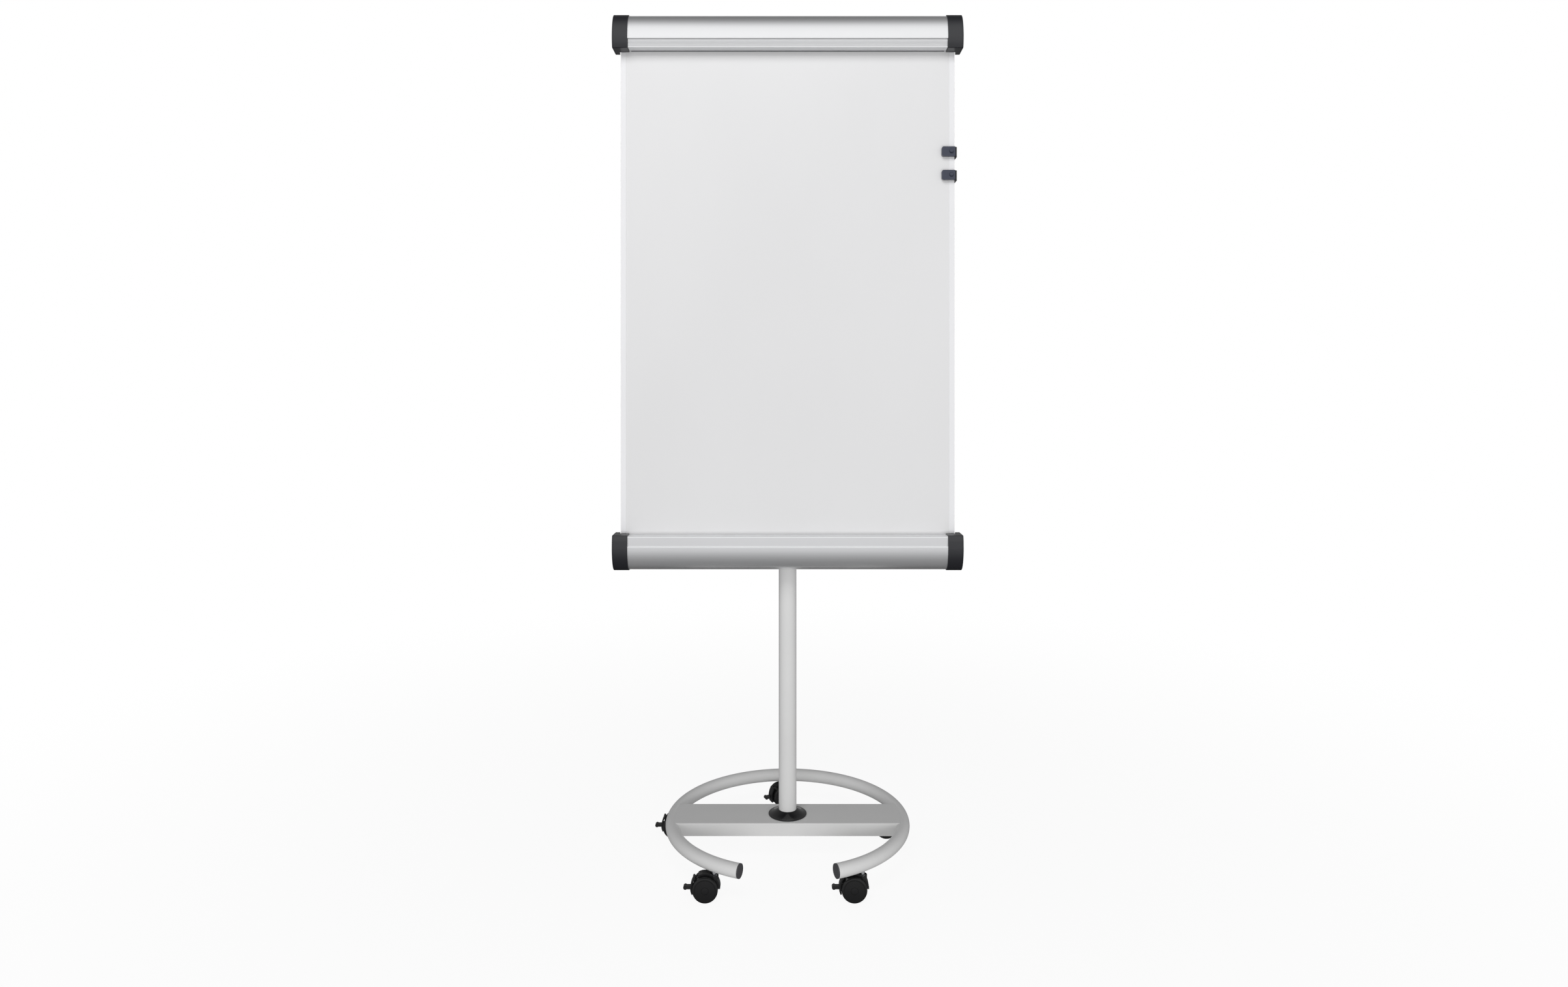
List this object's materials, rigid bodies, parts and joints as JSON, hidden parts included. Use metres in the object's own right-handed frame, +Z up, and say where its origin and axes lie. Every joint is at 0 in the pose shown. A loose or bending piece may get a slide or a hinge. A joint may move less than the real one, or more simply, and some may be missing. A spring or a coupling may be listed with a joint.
{
  "type": "flipchart easel",
  "caption": "Mobile flipchart easel: upright writing board with clamp rails, height-adjustable on a round steel column over a C-shaped ring base with braked casters.",
  "frame": {"origin": "middle of the easel's outline, on the floor; the column's axis stands 13.6 mm in front of it", "axes": "+Z up, the writing face looks along -Y, +X to the right of somebody who faces the board"},
  "size_m": [0.728, 0.5093, 1.7795],
  "materials": {
    "powder_coat": "satin light grey powder coat",
    "board_enamel": "smooth semi-gloss off-white enamel",
    "board_core": "fine board core with a smooth light grey backing",
    "light_trim": "smooth light grey",
    "anodised_rail": "natural satin anodised extrusion",
    "anthracite_cap": "fine matte moulded texture",
    "black_gloss": "polished moulded black",
    "black_plastic": "fine satin moulded black",
    "wheel_black": "smooth moulded black",
    "plug_plastic": "fine matte moulded dark grey",
    "slate_plastic": "satin slate blue-grey moulding",
    "zinc_steel": "bright zinc plate",
    "bush_nylon": "natural nylon",
    "clamp_rubber": "soft ribbed rubber"
  },
  "bodies": {
    "base": {"base_ring": "powder_coat", "ring_plugs": "plug_plastic", "cross_beam": "powder_coat", "column": "powder_coat", "column_top_cap": "black_plastic", "column_foot_plug": "zinc_steel", "column_bolt": "zinc_steel", "flared_collar": "black_gloss", "caster_front_left_stem": "zinc_steel", "caster_front_right_stem": "zinc_steel", "caster_side_left_stem": "zinc_steel", "caster_side_right_stem": "zinc_steel", "caster_rear_stem": "zinc_steel"},
    "board": {"writing_sheet": "board_enamel", "panel_core": "board_core", "edge_trims": "light_trim", "top_rail": "anodised_rail", "bottom_rail": "anodised_rail", "top_cap_left": "anthracite_cap", "top_cap_right": "anthracite_cap", "bottom_cap_left": "anthracite_cap", "bottom_cap_right": "anthracite_cap", "cap_screws": "zinc_steel", "rear_spine": "zinc_steel", "upper_bracket": "black_plastic", "lower_bracket": "black_plastic", "guide_bushes": "bush_nylon", "bracket_screws": "zinc_steel", "clamp_pins": "zinc_steel", "clamp_springs": "zinc_steel"},
    "knob": {"clamp_knob": "black_plastic", "knob_screw": "zinc_steel"},
    "clamp": {"clamp_bar": "anodised_rail", "clamp_strip": "clamp_rubber"},
    "hook_left": {"pad_hook_left": "black_plastic"},
    "hook_right": {"pad_hook_right": "black_plastic"},
    "clip_upper": {"upper_clip_block": "slate_plastic", "upper_clip_jaw": "black_plastic"},
    "clip_lower": {"lower_clip_block": "slate_plastic", "lower_clip_jaw": "black_plastic"},
    "caster_front_left": {"caster_front_left_hood": "black_plastic", "caster_front_left_axle": "zinc_steel"},
    "caster_front_left_wheel_pair": {"caster_front_left_wheels": "wheel_black"},
    "caster_front_left_lever": {"caster_front_left_brake": "black_plastic"},
    "caster_front_right": {"caster_front_right_hood": "black_plastic", "caster_front_right_axle": "zinc_steel"},
    "caster_front_right_wheel_pair": {"caster_front_right_wheels": "wheel_black"},
    "caster_front_right_lever": {"caster_front_right_brake": "black_plastic"},
    "caster_side_left": {"caster_side_left_hood": "black_plastic", "caster_side_left_axle": "zinc_steel"},
    "caster_side_left_wheel_pair": {"caster_side_left_wheels": "wheel_black"},
    "caster_side_left_lever": {"caster_side_left_brake": "black_plastic"},
    "caster_side_right": {"caster_side_right_hood": "black_plastic", "caster_side_right_axle": "zinc_steel"},
    "caster_side_right_wheel_pair": {"caster_side_right_wheels": "wheel_black"},
    "caster_side_right_lever": {"caster_side_right_brake": "black_plastic"},
    "caster_rear": {"caster_rear_hood": "black_plastic", "caster_rear_axle": "zinc_steel"},
    "caster_rear_wheel_pair": {"caster_rear_wheels": "wheel_black"},
    "caster_rear_lever": {"caster_rear_brake": "black_plastic"}
  },
  "joints": [
    {"name": "board_height", "type": "slide", "parent": "base", "child": "board", "axis": [0, 0, 1], "range_m": [-0.1, 0.15]},
    {"name": "knob_turn", "type": "hinge", "parent": "board", "child": "knob", "pos_m": [0, 0.03637, 0.902], "axis": [0, 1, 0], "range_deg": [0, 360]},
    {"name": "clamp_open", "type": "hinge", "parent": "board", "child": "clamp", "pos_m": [0, -0.09523, 1.7227], "axis": [-1, 0, 0], "range_deg": [0, 25], "stiffness_Nm_per_rad": 0.5, "springref_deg": -20.05},
    {"name": "hook_left_slide", "type": "slide", "parent": "board", "child": "hook_left", "axis": [1, 0, 0], "range_m": [-0.1, 0.1]},
    {"name": "hook_right_slide", "type": "slide", "parent": "board", "child": "hook_right", "axis": [1, 0, 0], "range_m": [-0.1, 0.1]},
    {"name": "clip_upper_slide", "type": "slide", "parent": "board", "child": "clip_upper", "axis": [0, 0, 1], "range_m": [-0.012, 0.18]},
    {"name": "clip_lower_slide", "type": "slide", "parent": "board", "child": "clip_lower", "axis": [0, 0, 1], "range_m": [-0.7, 0.012]},
    {"name": "front_left_swivel", "type": "hinge", "parent": "base", "child": "caster_front_left", "pos_m": [-0.14518, -0.21345, 0.04], "axis": [0, 0, 1], "continuous": true},
    {"name": "front_left_roll", "type": "hinge", "parent": "caster_front_left", "child": "caster_front_left_wheel_pair", "pos_m": [-0.16118, -0.21345, 0.025], "axis": [0, 1, 0], "continuous": true},
    {"name": "front_left_brake", "type": "hinge", "parent": "caster_front_left", "child": "caster_front_left_lever", "pos_m": [-0.16118, -0.21345, 0.025], "axis": [0, -1, 0], "range_deg": [0, 20]},
    {"name": "front_right_swivel", "type": "hinge", "parent": "base", "child": "caster_front_right", "pos_m": [0.14518, -0.21345, 0.04], "axis": [0, 0, 1], "continuous": true},
    {"name": "front_right_roll", "type": "hinge", "parent": "caster_front_right", "child": "caster_front_right_wheel_pair", "pos_m": [0.12918, -0.21345, 0.025], "axis": [0, 1, 0], "continuous": true},
    {"name": "front_right_brake", "type": "hinge", "parent": "caster_front_right", "child": "caster_front_right_lever", "pos_m": [0.12918, -0.21345, 0.025], "axis": [0, -1, 0], "range_deg": [0, 20]},
    {"name": "side_left_swivel", "type": "hinge", "parent": "base", "child": "caster_side_left", "pos_m": [-0.23491, 0.0627, 0.04], "axis": [0, 0, 1], "continuous": true},
    {"name": "side_left_roll", "type": "hinge", "parent": "caster_side_left", "child": "caster_side_left_wheel_pair", "pos_m": [-0.25091, 0.0627, 0.025], "axis": [0, 1, 0], "continuous": true},
    {"name": "side_left_brake", "type": "hinge", "parent": "caster_side_left", "child": "caster_side_left_lever", "pos_m": [-0.25091, 0.0627, 0.025], "axis": [0, -1, 0], "range_deg": [0, 20]},
    {"name": "side_right_swivel", "type": "hinge", "parent": "base", "child": "caster_side_right", "pos_m": [0.23491, 0.0627, 0.04], "axis": [0, 0, 1], "continuous": true},
    {"name": "side_right_roll", "type": "hinge", "parent": "caster_side_right", "child": "caster_side_right_wheel_pair", "pos_m": [0.21891, 0.0627, 0.025], "axis": [0, 1, 0], "continuous": true},
    {"name": "side_right_brake", "type": "hinge", "parent": "caster_side_right", "child": "caster_side_right_lever", "pos_m": [0.21891, 0.0627, 0.025], "axis": [0, -1, 0], "range_deg": [0, 20]},
    {"name": "rear_swivel", "type": "hinge", "parent": "base", "child": "caster_rear", "pos_m": [0, 0.23337, 0.04], "axis": [0, 0, 1], "continuous": true},
    {"name": "rear_roll", "type": "hinge", "parent": "caster_rear", "child": "caster_rear_wheel_pair", "pos_m": [-0.0145, 0.22661, 0.025], "axis": [-0.4226, 0.9063, 0], "continuous": true},
    {"name": "rear_brake", "type": "hinge", "parent": "caster_rear", "child": "caster_rear_lever", "pos_m": [-0.0145, 0.22661, 0.025], "axis": [0.4226, -0.9063, 0], "range_deg": [0, 20]}
  ]
}
